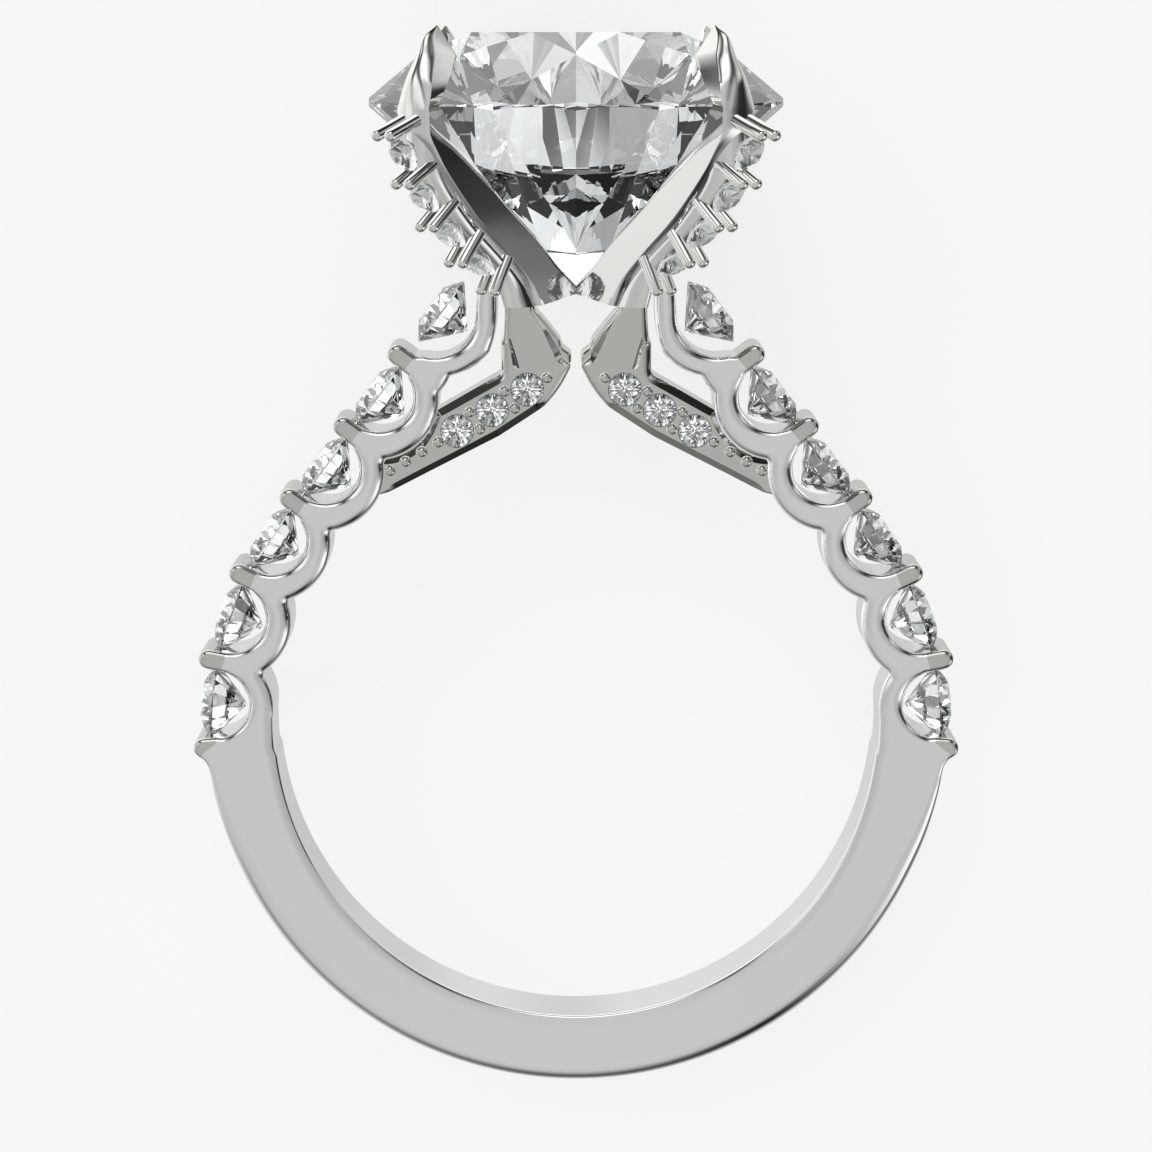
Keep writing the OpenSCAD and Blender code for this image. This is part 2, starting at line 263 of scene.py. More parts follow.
def metal_piece(name, points, faces, metals, marks=None, normals=None):
    """A polished piece of the ring, laid on the table and riding on its body."""
    mesh = bpy.data.meshes.new(name)
    mesh.from_pydata([tuple(p) for p in laid_down(points)], [], faces)
    for metal in metals:
        mesh.materials.append(metal)
    if marks is not None:
        mesh.polygons.foreach_set("material_index", [int(m) for m in marks])
    mesh.polygons.foreach_set("use_smooth", [True] * len(faces))
    mesh.update()
    if normals is None:
        mesh.set_sharp_from_angle(angle=SHARP_FROM)
    else:
        mesh.normals_split_custom_set_from_vertices([tuple(n) for n in turned_down(normals)])
    piece = bpy.data.objects.new(name, mesh)
    bpy.context.collection.objects.link(piece)
    # In the photograph the metal mirrors the studio and not its own neighbours
    piece.visible_glossy = False
    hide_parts("mount")
    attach(piece, "root")
    return piece


FINGER_R = 8.25
SHANK_R = 10.15
BAND_HALF = 1.2
# The shoulder line is an arc that leaves into a straight climb to the head
ARC_MIDDLE = np.array([-0.6, -0.36])
ARC_R = 9.4
CLIMB = math.radians(142.9)
# The stones and the walls below them, from the top one down
STONE_PITCH = 2.45
STONE_AT = [-7.34] + [-6.92 + STONE_PITCH * i for i in range(1, 6)]
WALL_AT = [s - STONE_PITCH / 2 for s in STONE_AT[1:]] + [STONE_AT[5] + 1.18]
WALL_HALF = 0.275
WALL_SHIFT = -0.08
WALL_ROOT = -0.3
WALL_RIM = 0.17
TIP_RISE = 0.55
LOWEST_DROP = 0.06
TIP_RIM = 0.18
# The tips are finished from here up in the whiter metal of the head
TIP_FROM = -0.16
TIP_LINE = 0.02
# Each cradle: its middle, its shift, how wide and how deep it is, where its
# hollow starts and ends in degrees, and in how many points
CRADLES = [(STONE_AT[0], 0.12, 1.1, 1.0, 20, 131, 22)]
CRADLES += [(s, WALL_SHIFT, 0.95, 0.95, 20, 159, 24) for s in STONE_AT[1:5]]
CRADLES += [(STONE_AT[5], WALL_SHIFT, 0.95, 1.0, 20, 159, 24)]
# A cradle's rim, and how much it widens at this share of the way up
CRADLE_RIM, CRADLE_RIM_MORE = 0.15, 0.2
WIDEST_AT, WIDEST_OVER = 0.66, 0.3
# The rounds under the cradles: where each is and how far it reaches
BULGES = [(s, 1.68) for s in STONE_AT] + [(STONE_AT[0] + 1.55, 1.27)]
BULGE_RIM = 0.35
FINGER_RIM = 0.33
# The foot of the lowest wall and its tip, and the outer and inner edge of the
# post that stands behind the claws, as [x, z] and the rim's width
LOWEST_WALL = [(-10.03, -1.5, 0.15), (-10.09, -1.24, 0.15), (-10.2, -1.06, 0.15)]
LOWEST_TIP = [(-10.4, -0.93, 0.14), (-10.49, -0.8, 0.13)]
POST = [(-2.69, 11.4, 0.22), (-2.67, 11.65, 0.22), (-2.64, 11.9, 0.22), (-2.6, 12.1, 0.22),
        (-2.13, 12.1, 0.26), (-2.13, 11.3, 0.26), (-2.15, 10.9, 0.26), (-2.215, 10.5, 0.26)]
# The shank from its foot up to the shoulder in degrees, and how much its rim
# widens again over the first degrees below the shoulder
SHANK_FROM, SHANK_TO = 270, 190
SHANK_RIM, SHANK_RIM_MORE, SHANK_RIM_OVER = 0.2, 0.33, 14
# Where the underside of the shoulder leaves the rounds for the plain finger
# hole, and where its rim changes from rounded to eased, down the shoulder line
UNDERSIDE_FROM, UNDERSIDE_TO, UNDERSIDE_STEP = -7.34, 6.6, 0.07
PLAIN_HOLE_FROM = 5
HOLE_SLACK = 0.06
EASED_FROM, EASED_OVER = 3.6, 1.6
HOLE_STEP = 0.012


def shoulder(s, up, down=0.0):
    """A point at s down the shoulder line, up from it and down past it."""
    turn = CLIMB + max(s, 0) / ARC_R
    out = np.array([math.cos(turn), math.sin(turn)])
    drop = np.array([-out[1], out[0]])
    return ARC_MIDDLE + ARC_R * out + min(s, 0) * drop + up * out + down * drop


def on_circle(radius, angle):
    """A point on a circle round the finger, by its angle in radians."""
    return radius * math.cos(angle), radius * math.sin(angle)


def bulge_depth(s):
    """How far the rounds under the cradles reach in below the shoulder line."""
    depth = 0.0
    for middle, reach in BULGES:
        away = s - middle
        if s <= 0:
            if abs(away) < reach:
                depth = max(depth, math.sqrt(reach ** 2 - away ** 2))
        elif abs(away) < 2 * reach:
            here = shoulder(s, 0)
            inward = (ARC_MIDDLE - here) / ARC_R
            gap = here - shoulder(middle, 0)
            b = gap @ inward
            inside = b * b - gap @ gap + reach ** 2
            if inside > 0:
                depth = max(depth, -b + math.sqrt(inside))
    return depth


def band_outline():
    """The left half of the band, from the foot up to the head and back inside.

    Each row holds x, z, the rim's width, the shares of the rounded and the eased
    rim, and 1 on the tips.
    """
    rows = []

    def add(point, width, rounded=1.0, eased=0.0, tip=0.0):
        rows.append([point[0], point[1], width, rounded, eased, tip])

    for a in np.radians(np.arange(SHANK_FROM, SHANK_TO - 0.5, -1.0)):
        share = np.clip((math.degrees(a) - SHANK_TO) / SHANK_RIM_OVER, 0, 1)
        add(on_circle(SHANK_R, a), SHANK_RIM + SHANK_RIM_MORE * share)
    for x, z, width in LOWEST_WALL:
        add((x, z), width)
    for x, z, width in LOWEST_TIP:
        add((x, z), width, tip=1)
    for i in range(5, -1, -1):
        wall = WALL_AT[i]
        below, above = WALL_SHIFT + WALL_HALF, WALL_SHIFT - WALL_HALF
        lowest = i == 5
        rise = TIP_RISE - WALL_HALF
        if not lowest:
            add(shoulder(wall, WALL_ROOT, below), WALL_RIM)
            add(shoulder(wall, TIP_FROM - TIP_LINE, below), WALL_RIM)
            add(shoulder(wall, TIP_FROM, below), WALL_RIM, tip=1)
            add(shoulder(wall, rise, below), TIP_RIM, tip=1)
        # The lowest tip starts part of the way round and stands a little lower
        rise -= LOWEST_DROP if lowest else 0
        for a in np.radians(np.linspace(75, 180, 8) if lowest else np.linspace(0, 180, 13)):
            up, down = rise + WALL_HALF * math.sin(a), WALL_SHIFT + WALL_HALF * math.cos(a)
            add(shoulder(wall, up, down), TIP_RIM, tip=1)
        add(shoulder(wall, TIP_FROM, above), CRADLE_RIM, tip=1)
        add(shoulder(wall, TIP_FROM - TIP_LINE, above), CRADLE_RIM)
        middle, shift, wide, deep, start, end, count = CRADLES[i]
        for k, a in enumerate(np.radians(np.linspace(start, end, count))):
            hollow = shoulder(middle, -deep * math.sin(a), shift + wide * math.cos(a))
            more = math.exp(-((k / (count - 1) - WIDEST_AT) / WIDEST_OVER) ** 2)
            add(hollow, CRADLE_RIM + CRADLE_RIM_MORE * more)
    for x, z, width in POST:
        add((x, z), width)
    for s in np.arange(UNDERSIDE_FROM, UNDERSIDE_TO, UNDERSIDE_STEP):
        point = shoulder(s, -bulge_depth(s))
        if s > PLAIN_HOLE_FROM:
            r = np.linalg.norm(point)
            point *= np.clip(r, FINGER_R, FINGER_R + HOLE_SLACK) / r
        plain = np.clip((s - EASED_FROM) / EASED_OVER, 0, 1)
        width = BULGE_RIM + (FINGER_RIM - BULGE_RIM) * plain
        add(point, width, rounded=1 - plain, eased=plain)
    last = math.atan2(rows[-1][1], rows[-1][0]) % (2 * math.pi)
    for a in np.arange(last + 0.02, math.radians(SHANK_FROM), HOLE_STEP):
        add(on_circle(FINGER_R, a), FINGER_RIM, rounded=0.0, eased=1.0)
    return np.array(rows)


# The whole outline is the left half from the foot up and back down inside,
# then its mirror image up inside and back down to the foot
BAND_STEP = 0.04
OUTLINE_BLUR = 1
BAND_RIM_BLUR = 6
left = band_outline()
right = left[::-1] * np.array([-1, 1, 1, 1, 1, 1])
whole = np.vstack([left, right[1:-1]])
outline, values = evenly(whole[:, :2], whole[:, 2:], BAND_STEP)
filed_share = np.zeros((len(values), 1))
rims = softened(np.hstack([values[:, :3], filed_share]), BAND_RIM_BLUR)
points, normals, faces, marks = rimmed_plate(
    softened(outline, OUTLINE_BLUR), rims, BAND_HALF, is_tip=values[:, 3] > 0.5)
metal_piece("band", points, faces, [white_gold, platinum], marks, normals)

# The bridges: two cast plates that carry the head over the finger, pierced
# for three small stones on each face, with a row of raised beads after them.
# A thinner web runs out behind the beak's upper edge.
PLATE_HALF = 0.95
WEB_HALF = 0.72
# The plate's outline as [x, z], the rim's width and the shares of the rounded,
# eased and filed rim: the beak, the long lower edge, the foot, the upper edge
# over the stones, and the window's side
PLATE = np.array([
    [-1.22, 12.1, 0.1, 1, 0, 0], [-1.2, 11.28, 0.08, 1, 0, 0], [-0.963, 10.936, 0.05, 0.4, 0, 0.6],
    [-0.8, 10.76, 0.11, 0, 0, 1], [-0.42, 10.14, 0.2, 0, 0, 1], [-0.38, 10.0, 0.2, 0, 0, 1],
    [-0.25, 9.89, 0.15, 0.4, 0, 0.6], [-0.135, 9.8, 0.16, 1, 0, 0], [-0.16, 9.68, 0.2, 1, 0, 0],
    [-0.35, 9.3, 0.24, 1, 0, 0], [-0.54, 9.01, 0.24, 1, 0, 0], [-0.84, 8.66, 0.22, 1, 0, 0],
    [-0.9, 8.62, 0.2, 0, 0, 1], [-2.09, 7.84, 0.2, 0, 0, 1], [-2.76, 7.5, 0.19, 0, 0, 1],
    [-4.13, 6.8, 0.18, 0, 0, 1], [-5.02, 6.34, 0.17, 0, 0, 1], [-5.08, 6.31, 0.1, 1, 0, 0],
    [-5.45, 6.22, 0.1, 1, 0, 0], [-5.7, 7.1, 0.1, 1, 0, 0], [-5.4, 7.25, 0.2, 0, 0, 1],
    [-4.98, 7.31, 0.22, 0, 0, 1], [-4.59, 7.47, 0.24, 0, 0, 1], [-4.25, 7.73, 0.24, 0, 0, 1],
    [-4.0, 8.06, 0.2, 0, 0, 1], [-3.8, 8.53, 0.2, 0, 0, 1], [-3.69, 8.59, 0.2, 0, 0, 1],
    [-2.25, 9.42, 0.22, 0, 0, 1], [-2.1, 9.5, 0.24, 0.5, 0, 0.5], [-2.04, 9.62, 0.26, 1, 0, 0],
    [-2.04, 10.38, 0.26, 1, 0, 0], [-1.97, 10.5, 0.22, 1, 0, 0], [-1.93, 11.2, 0.2, 1, 0, 0],
    [-1.92, 12.1, 0.2, 1, 0, 0]
])
PLATE_STEP = 0.045
PLATE_RIM_BLUR = 2
WEB = np.array([
    [-1.12, 12.1], [-1.12, 11.3], [-0.74, 10.86], [-0.42, 10.45], [-0.39, 10.27], [-0.13, 10.08],
    [-0.13, 9.82], [-0.5, 9.6], [-1.3, 9.95], [-1.7, 10.6], [-1.7, 12.1]
])
WEB_STEP = 0.05
WEB_RIM = [0.12, 1.0, 0.0, 0.0]
# The groove filed beside the window, as its left and right edge from the top
# down, and its depth as a share of its width
GROOVE = np.array([
    [[-1.83, 10.5], [-1.77, 10.5]], [[-1.8, 10.3], [-1.7, 10.3]],
    [[-1.71, 9.78], [-1.53, 9.72]], [[-1.6, 9.66], [-1.54, 9.68]]
])
GROOVE_DEPTH = 0.62
ROW_START = np.array([-1.321, 9.119])
ROW_TURN = math.radians(210.7)
ROW_STEP = 1.105
BRIDGE_STONE = 0.88
BRIDGE_OPEN = 0.1
# The beads: one before the stones, two beside each gap, and four after them
BEAD_R = 0.165
BEAD_OFF = 0.27
BEAD_SUNK = 0.03
BEAD_SIDES = 22
BEADS = [(-0.62, 0)]
BEADS += [((k + 0.5) * ROW_STEP, off) for k in range(2) for off in (-BEAD_OFF, BEAD_OFF)]
BEADS += [(2 * ROW_STEP + after, 0) for after in (0.6, 1.12, 1.64, 2.13)]


def on_row(along, off):
    """A place beside the row of bridge stones, as x and z."""
    c, s = math.cos(ROW_TURN), math.sin(ROW_TURN)
    return ROW_START + along * np.array([c, s]) + off * np.array([s, -c])


def lathe(profile, sides):
    """Points and faces turned from [radius, height] rows that start and end on the axis."""
    turn = np.linspace(0, 2 * math.pi, sides, endpoint=False)
    points = [[0, 0, profile[0][1]]]
    for r, h in profile[1:-1]:
        points += [[r * math.cos(a), r * math.sin(a), h] for a in turn]
    points.append([0, 0, profile[-1][1]])
    around = [(i, (i + 1) % sides) for i in range(sides)]
    faces = [[0, 1 + k, 1 + i] for i, k in around]
    for a in range(1, len(points) - 1 - sides, sides):
        faces += [[a + i, a + k, a + sides + k, a + sides + i] for i, k in around]
    end = len(points) - 1
    faces += [[end - sides + i, end - sides + k, end] for i, k in around]
    return np.array(points), faces


PAVILION = math.radians(40.7)
GIRDLE_SHARE = 0.01
SEAT_GAP = 0.02
SEAT_FLARE = 1.02
SEAT_SIDES = 40


def seat_shape(size, open_up):
    """The hole that is drilled for a round stone: its cone below, an open neck above."""
    r, half = size / 2 + SEAT_GAP, size * GIRDLE_SHARE + SEAT_GAP
    deep = half + size / 2 * math.tan(PAVILION)
    top = half + open_up
    profile = [[0, -deep], [r, -half], [r, half], [r * SEAT_FLARE, top], [0, top]]
    return lathe(profile, SEAT_SIDES)


# A direction that no seat, bead or wire points in
ASKEW = [0.3, 0.2, 1.0]


def facing(shape, place, normal):
    """A shape with its own Z turned along a direction, and moved to a place."""
    points, faces = shape
    z = np.array(normal, float) / np.linalg.norm(normal)
    x = np.cross(ASKEW, z)
    x /= np.linalg.norm(x)
    return points @ np.stack([x, np.cross(z, x), z]) + place, faces


def joined(shapes):
    """Several shapes as one."""
    points, faces, start = [], [], 0
    for p, f in shapes:
        points.append(p)
        faces += [[v + start for v in face] for face in f]
        start += len(p)
    return np.vstack(points), faces


def drilled(shape, cutters):
    """A shape with the cutters' room taken out."""
    made = []
    for p, f in (shape, joined(cutters)):
        mesh = bpy.data.meshes.new("blank")
        mesh.from_pydata([tuple(v) for v in p], [], f)
        blank = bpy.data.objects.new("blank", mesh)
        bpy.context.collection.objects.link(blank)
        made.append(blank)
    body, tool = made
    cut = body.modifiers.new("cut", "BOOLEAN")
    cut.operation, cut.solver, cut.object = "DIFFERENCE", "EXACT", tool
    cut.use_self = True
    settled = body.evaluated_get(bpy.context.evaluated_depsgraph_get())
    result = bpy.data.meshes.new_from_object(settled)
    points = np.array([v.co[:] for v in result.vertices])
    faces = [list(f.vertices) for f in result.polygons]
    meshes = [blank.data for blank in made] + [result]
    for blank in made:
        bpy.data.objects.remove(blank)
    for mesh in meshes:
        bpy.data.meshes.remove(mesh)
    return points, faces


def groove_shape(face):
    """The room of the groove beside the window, on the front or back of a plate."""
    rows = []
    for edge, other in GROOVE:
        middle, deep = (edge + other) / 2, GROOVE_DEPTH * np.linalg.norm(other - edge)
        levels = ((edge, 0.1), (edge, 0), (middle, -deep), (other, 0), (other, 0.1))
        rows += [[x, face * (PLATE_HALF + level), z] for (x, z), level in levels]
    ring = 5
    last = len(rows) - ring
    around = [(i, (i + 1) % ring) for i in range(ring)]
    sides = []
    for a in range(0, last, ring):
        sides += [[a + i, a + k, a + ring + k, a + ring + i] for i, k in around]
    sides += [[i for i, _ in around[::-1]], [last + i for i, _ in around]]
    return np.array(rows), sides if face < 0 else [quad[::-1] for quad in sides]


FLAT_WEIGHT = 60


def flats_kept_flat(piece):
    """Lets large flats keep their own normals beside small rounded rims."""
    level = piece.modifiers.new("level flats", "WEIGHTED_NORMAL")
    level.mode, level.weight, level.keep_sharp = "FACE_AREA", FLAT_WEIGHT, True


plate_walk, plate_rims = evenly(PLATE[:, :2], PLATE[:, 2:], PLATE_STEP)
plate_points, _, plate_faces, _ = rimmed_plate(
    softened(plate_walk, OUTLINE_BLUR), softened(plate_rims, PLATE_RIM_BLUR), PLATE_HALF)
web_walk, _ = evenly(WEB, np.zeros((len(WEB), 1)), WEB_STEP)
web_rims = np.tile(WEB_RIM, (len(web_walk), 1))
web_points, _, web_faces, _ = rimmed_plate(
    softened(web_walk, OUTLINE_BLUR), web_rims, WEB_HALF)
bead_turns = np.radians(np.linspace(-90, 90, 11))
bead = lathe([[BEAD_R * math.cos(a), BEAD_R * math.sin(a)] for a in bead_turns], BEAD_SIDES)
cutters, beads = [], []
for face in (-1, 1):
    for k in range(3):
        x, z = on_row(k * ROW_STEP, 0)
        seat = seat_shape(BRIDGE_STONE, BRIDGE_OPEN)
        cutters.append(facing(seat, [x, face * PLATE_HALF, z], [0, face, 0]))
    cutters.append(groove_shape(face))
    for along, off in BEADS:
        x, z = on_row(along, off)
        beads.append(facing(bead, [x, face * (PLATE_HALF - BEAD_SUNK), z], [0, face, 0]))
pierced = drilled((plate_points, plate_faces), cutters)
for side, name in ((1, "bridge_left"), (-1, "bridge_right")):
    points, faces = joined([pierced, (web_points, web_faces)] + beads)
    if side < 0:
        points, faces = points * [-1, 1, 1], [f[::-1] for f in faces]
    flats_kept_flat(metal_piece(name, points, faces, [platinum]))

# The head: four claws, each a flat-sided blade that hooks over the stone's
# girdle, an outer rail that carries four small stones, and five pairs of
# round wire prongs, all soldered together where they meet under the stone.
claw_metal = polished_metal("claw_metal_polished", (0.86, 0.855, 0.83), 0.035)
CLAW_HALF = 0.65
CLAW_TURNS = (225, 315, 45, 135)
# Rows down a bar: inner edge and outer edge as [from the axis, height], share of
# the width, share of the thickness that is rounded, and the break before the
# rounding in degrees
BLADE = [
    [5.1, 18.86, 5.15, 18.88, 0.06, 0.6, 34], [4.86, 18.46, 5.55, 18.61, 0.27, 0.62, 34],
    [4.68, 18.09, 5.79, 18.08, 0.57, 0.66, 34], [4.99, 17.69, 6.03, 17.57, 0.8, 0.64, 30],
    [5.31, 17.29, 6.12, 17.1, 0.96, 0.6, 26], [5.62, 16.86, 6.15, 16.65, 1, 0.5, 22],
    [5.16, 16.3, 6.08, 16.1, 0.97, 0.22, 18], [4.74, 15.83, 5.75, 15.6, 0.935, 0.12, 14],
    [4.24, 15.24, 5.23, 14.92, 0.88, 0.11, 14], [3.06, 14.2, 4.13, 13.77, 0.76, 0.11, 14],
    [1.72, 13.14, 2.97, 12.83, 0.62, 0.11, 14], [0.95, 12.4, 2.13, 12.09, 0.52, 0.11, 14],
    [0, 11.72, 1.66, 11.4, 0.42, 0.11, 14]
]
# The rows of the blade where its inner edge turns a corner
BLADE_CORNERS = (2, 5)
RAIL = [
    [5.35, 16.2, 6.1, 16.25, 0.8, 0.8, 6], [5.32, 15.6, 6.05, 15.7, 0.68, 0.85, 6],
    [5.3, 15.05, 5.93, 15.15, 0.6, 0.9, 6], [4.86, 14.4, 5.47, 14.54, 0.54, 0.9, 6],
    [4.04, 13.56, 4.6, 13.6, 0.5, 0.9, 6], [3.03, 12.72, 3.62, 12.78, 0.48, 0.9, 6],
    [2.3, 12.02, 3.0, 12.2, 0.46, 0.85, 6], [1.88, 11.4, 2.66, 11.4, 0.46, 0.8, 6]
]
PARTS_A_ROW = 6
# Across a bar: the crisp inner edge as shares of the thickness and the width,
# and the stops along its flat side
INNER_EDGE = [(0.0, 0.93), (0.012, 0.98), (0.03, 1)]
SIDE_STOPS = (0.06, 0.5, 0.94, 1)
# The arc of the small stones, seen as [from the axis, height]
ARC_AT = np.array([-0.77, 19.24])
CLAW_ARC_R = 8.0
CLAW_STEP = 9.67
CLAW_MIDDLE = 41.6
CLAW_STONE = 1.04
CLAW_OPEN = 0.45
WIRE_R = 0.165
WIRE_SIDE = 0.26
WIRE_FROM, WIRE_TO = 7.4, 8.55
WIRE_DOME = 0.8
WIRE_SIDES = 24


def eased_between(rows, keep_corners=()):
    """Rows with more rows eased between them, the inner edge straight at its corners."""
    rows = np.array(rows, float)
    out = []
    for i in range(len(rows) - 1):
        a, b = rows[i], rows[i + 1]
        before = rows[i - 1] if i > 0 else a - (b - a)
        after = rows[i + 2] if i + 2 < len(rows) else b + (b - a)
        for t in np.linspace(0, 1, PARTS_A_ROW, endpoint=False):
            curve = 0.5 * (2 * a + (b - before) * t + (2 * before - 5 * a + 4 * b - after) * t ** 2
                           + (3 * a - before - 3 * b + after) * t ** 3)
            straight = a + (b - a) * t
            if i in keep_corners or i + 1 in keep_corners:
                curve[:2] = straight[:2]
            out.append(curve)
    out.append(rows[-1])
    return np.array(out)


def flat_sided_bar(rows):
    """A bar down its rows with flat sides, a crisp inner edge and a rounded outer face."""
    points = []
    for row in rows:
        inner, outer, half, belly, broken = row[:2], row[2:4], row[4] * CLAW_HALF, row[5], row[6]
        side = math.cos(math.radians(broken))
        edge = 1 - belly + belly * math.sin(math.radians(broken))
        section = [(e, w * side) for e, w in INNER_EDGE]
        crisp = INNER_EDGE[-1][0]
        section += [(crisp + (edge - crisp) * t, side) for t in SIDE_STOPS]
        for a in np.radians(np.linspace(broken, 90, 9))[1:]:
            section.append((1 - belly + belly * math.sin(a), math.cos(a)))
        section += [(e, -w) for e, w in section[-2::-1]]
        for e, w in section:
            at = inner + (outer - inner) * e
            points.append([at[0], -w * half, at[1]])
    n = len(section)
    last = len(points) - n
    faces = [list(range(n))]
    for a in range(0, last, n):
        for j in range(n):
            k = (j + 1) % n
            faces.append([a + j, a + n + j, a + n + k, a + k])
    faces.append([last + j for j in range(n - 1, -1, -1)])
    return np.array(points), faces


def on_claw_arc(along, reach, off=0.0):
    """A place on the arc of the claw stones and the direction out of the claw there."""
    a = math.radians(along)
    out = np.array([math.cos(a), 0, -math.sin(a)])
    return np.array([ARC_AT[0], off, ARC_AT[1]]) + reach * out, out


cutters = []
for k in range(4):
    place, out = on_claw_arc(CLAW_MIDDLE + (k - 1.5) * CLAW_STEP, CLAW_ARC_R)
    cutters.append(facing(seat_shape(CLAW_STONE, CLAW_OPEN), place, out))
blade = drilled(flat_sided_bar(eased_between(BLADE, BLADE_CORNERS)), cutters)
rail = drilled(flat_sided_bar(eased_between(RAIL)), cutters)
wire_long, dome_high = WIRE_TO - WIRE_FROM, WIRE_R * WIRE_DOME
dome = [[WIRE_R * math.cos(a), wire_long - dome_high + dome_high * math.sin(a)]
        for a in np.radians(np.arange(0, 91, 15))]
wire = lathe([[0, 0], [WIRE_R, 0], [WIRE_R, wire_long / 2]] + dome, WIRE_SIDES)
wires = []
for k in range(5):
    for off in (-WIRE_SIDE, WIRE_SIDE):
        place, out = on_claw_arc(CLAW_MIDDLE + (k - 2) * CLAW_STEP, WIRE_FROM, off)
        wires.append(facing(wire, place, out))
claw_points, claw_faces = joined([blade, rail] + wires)
for number, turn in enumerate(CLAW_TURNS, 1):
    c, s = math.cos(math.radians(turn)), math.sin(math.radians(turn))
    x, y, z = claw_points.T
    around_head = np.stack([x * c - y * s, x * s + y * c, z], 1)
    flats_kept_flat(metal_piece(f"claw_{number}", around_head, claw_faces, [claw_metal]))

# The stones: colourless round brilliants, each with a table, stars, kites,
# halves, a faceted girdle and a pavilion that ends in a point. The large
# one hangs in the claws, the rest sit in the cradles, claws and bridges.
BENDS_LIGHT = 2.417


def cut_stone(name, tint):
    """Clear cut stone: a polished surface that only bends and returns light."""
    stone = bpy.data.materials.new(name)
    stone.use_nodes = True
    shader = stone.node_tree.nodes["Principled BSDF"]
    shader.inputs["Base Color"].default_value = (*tint, 1)
    shader.inputs["Transmission Weight"].default_value = 1
    shader.inputs["Roughness"].default_value = 0
    shader.inputs["IOR"].default_value = BENDS_LIGHT
    return stone


brilliant = cut_stone("brilliant_clear", (0.95, 0.978, 0.99))
# The claw stones get a greyer, darker copy of the clear stone: this is painted shade, as they are
# the same colourless brilliants
painted_shade_claw_gem = cut_stone("claw_gem_painted_shade", (0.88, 0.91, 0.925))
for name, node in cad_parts.items():
    if name == "mount":
        continue
    in_claw = name.startswith("claw_stone")
    node.data.materials.clear()
    node.data.materials.append(painted_shade_claw_gem if in_claw else brilliant)
    # The blades stay clear of the mirror images of the stones beside them
    node.visible_glossy = not in_claw

# The table that the ring lies on, a sheet of pale card that is lit until it
# is as pale as the studio behind it. It stays out of the mirror images in
# the metal and out of what shows through the stones.
CARD_REACH = 3
CARD_GREY = 0.34
CARD_MATT = 0.9
CARD_GLOW = 0.75
corners = [(x * CARD_REACH, y * CARD_REACH, 0) for x, y in ((-1, -1), (1, -1), (1, 1), (-1, 1))]
table_mesh = bpy.data.meshes.new("table_top")
table_mesh.from_pydata(corners, [], [[0, 1, 2, 3]])
table_top = bpy.data.objects.new("table_top", table_mesh)
bpy.context.collection.objects.link(table_top)
card = bpy.data.materials.new("pale_card")
card.use_nodes = True
shader = card.node_tree.nodes["Principled BSDF"]
shader.inputs["Base Color"].default_value = (CARD_GREY, CARD_GREY, CARD_GREY, 1)
shader.inputs["Roughness"].default_value = CARD_MATT
shader.inputs["Specular IOR Level"].default_value = 0
shader.inputs["Emission Color"].default_value = (1, 1, 1, 1)
shader.inputs["Emission Strength"].default_value = CARD_GLOW
table_mesh.materials.append(card)
table_top.visible_glossy = False
table_top.visible_transmission = False

# The studio: soft white walls with dark cards between them, which stand all
# round the ring. The polished metal mirrors them as they are, and the stones
# gather them with more contrast. The camera sees plain pale paper.

